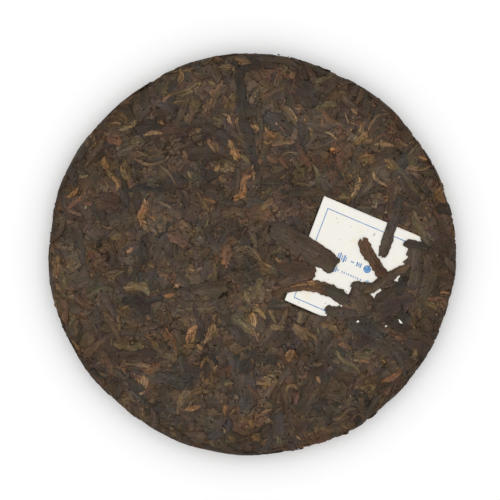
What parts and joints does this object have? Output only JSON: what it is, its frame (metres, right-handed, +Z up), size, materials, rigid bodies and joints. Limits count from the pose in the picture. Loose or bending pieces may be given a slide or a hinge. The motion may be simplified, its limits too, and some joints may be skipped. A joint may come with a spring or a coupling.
{
  "type": "pressed pu erh tea cake",
  "caption": "Round disc of pressed dark tea leaves with a domed face, a paper ticket held in it by leaves that cross it, and a knot hollow in the base.",
  "frame": {"origin": "centre of the base, on the plane that the cake rests on", "axes": "+Z up, out of the domed face; +X towards the side of the face that holds the ticket"},
  "size_m": [0.2009, 0.1984, 0.024],
  "materials": {
    "pressed_tea": "dull dry leaf, dark brown with golden buds",
    "ticket_paper": "matt uncoated off-white paper with thin blue print"
  },
  "bodies": {
    "root": {"tea_cake": "pressed_tea", "paper_ticket": "ticket_paper"}
  },
  "joints": []
}
